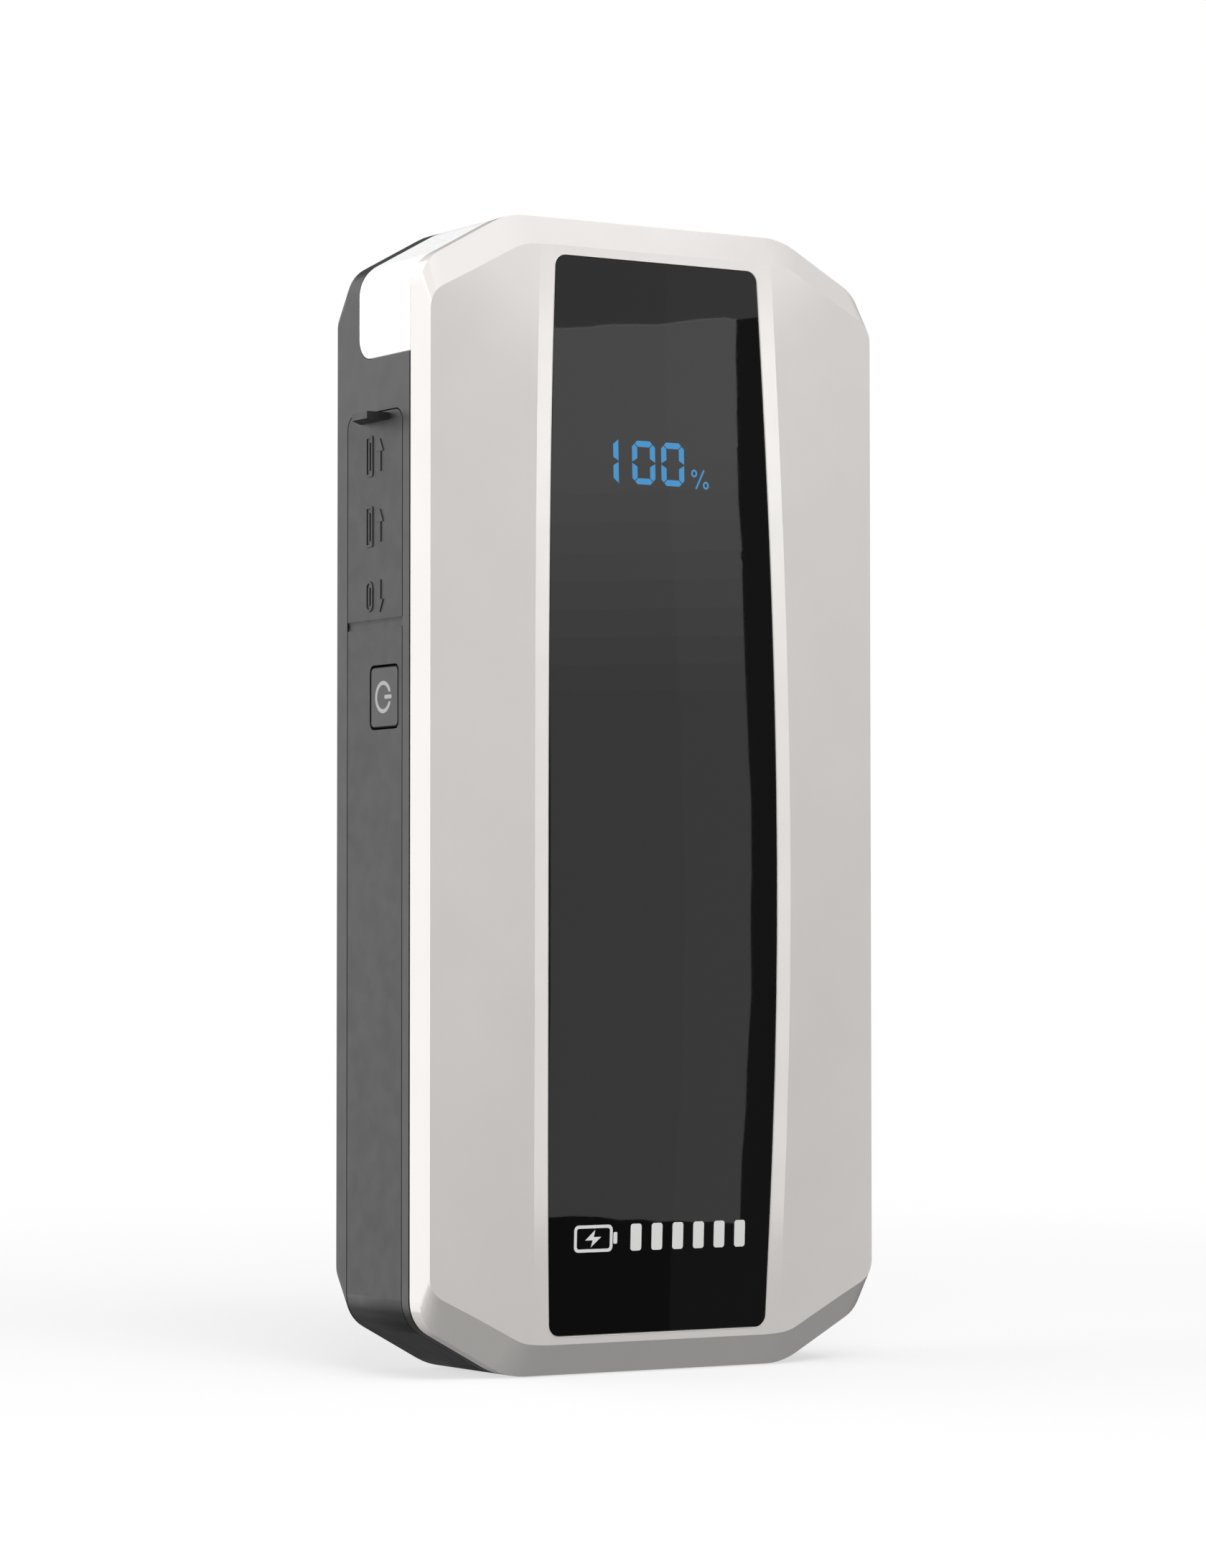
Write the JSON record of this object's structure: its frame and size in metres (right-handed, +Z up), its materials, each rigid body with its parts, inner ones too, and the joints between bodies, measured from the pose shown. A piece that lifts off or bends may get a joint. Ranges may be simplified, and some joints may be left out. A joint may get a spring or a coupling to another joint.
{
  "type": "power bank",
  "caption": "Upright faceted power bank with a crowned front, glossy display panel, side port flap, power button and a lamp wrapped round its top end.",
  "frame": {"origin": "middle of the flat bottom end, on the surface the bank stands on", "axes": "+Z up along the length, -Y towards the display side, -X towards the ports and the button"},
  "size_m": [0.0856, 0.0342, 0.18],
  "materials": {
    "shell_grey": "satin moulded plastic, light warm grey",
    "panel_black": "high gloss, smoked black",
    "digit_blue": "lit blue segments behind the gloss panel",
    "tape_black": "adhesive foam tape",
    "shell_dark": "satin moulded plastic, gunmetal grey",
    "band_dark": "fine matte soft-touch rubber",
    "cover_dark": "fine matte soft-touch rubber",
    "lens_white": "translucent white diffuser",
    "button_dark": "satin moulded plastic",
    "symbol_grey": "light grey inlay",
    "bezel_black": "fine matte moulded plastic",
    "port_steel": "plated sheet steel",
    "tongue_white": "moulded insulator",
    "tongue_black": "moulded insulator",
    "pcb_green": "solder mask on glass laminate",
    "chip_black": "epoxy package",
    "inductor_grey": "pressed iron powder",
    "can_aluminium": "drawn can",
    "module_black": "display housing",
    "switch_black": "moulded housing",
    "flex_white": "white flexible circuit",
    "led_yellow": "phosphor under clear resin",
    "carrier_white": "white moulded reflector",
    "cell_foil": "matte laminated foil pouch",
    "foam_grey": "thin foam pad",
    "frame_black": "moulded plastic",
    "tab_nickel": "nickel strip",
    "lead_red": "silicone insulated wire",
    "screw_steel": "black zinc plated steel"
  },
  "bodies": {
    "case": {"front_shell": "shell_grey", "front_panel": "panel_black", "display_digits": "digit_blue", "panel_tape": "tape_black", "rear_shell": "shell_dark", "side_band": "band_dark", "port_hinge": "cover_dark", "port_bezel": "bezel_black", "usb_a_shell_1": "port_steel", "usb_a_shell_2": "port_steel", "usb_a_tongue_1": "tongue_white", "usb_a_tongue_2": "tongue_white", "usb_c_shell": "port_steel", "usb_c_tongue": "tongue_black", "tact_switch": "switch_black", "main_board": "pcb_green", "display_module": "module_black", "board_chips": "chip_black", "board_inductors": "inductor_grey", "board_capacitors": "can_aluminium", "lamp_lens": "lens_white", "lamp_carrier": "carrier_white", "lamp_flex": "flex_white", "lamp_leds": "led_yellow", "battery_cell_1": "cell_foil", "battery_cell_2": "cell_foil", "battery_cell_3": "cell_foil", "battery_cell_4": "cell_foil", "cell_foam": "foam_grey", "battery_frame": "frame_black", "cell_tabs": "tab_nickel", "protection_board": "pcb_green", "battery_leads": "lead_red", "shell_screws": "screw_steel", "board_screws": "screw_steel"},
    "cover_flap": {"port_cover": "cover_dark"},
    "button": {"power_button": "button_dark", "button_symbol": "symbol_grey", "switch_plunger": "switch_black"}
  },
  "joints": [
    {"name": "port_cover_hinge", "type": "hinge", "parent": "case", "child": "cover_flap", "pos_m": [-0.0409, 0.00269, 0.1164], "axis": [0, -1, 0], "range_deg": [0, 140], "deforming": ["port_hinge"]},
    {"name": "power_button_press", "type": "slide", "parent": "case", "child": "button", "axis": [1, 0, 0], "range_m": [0, 0.0005], "stiffness_N_per_m": 2000}
  ]
}
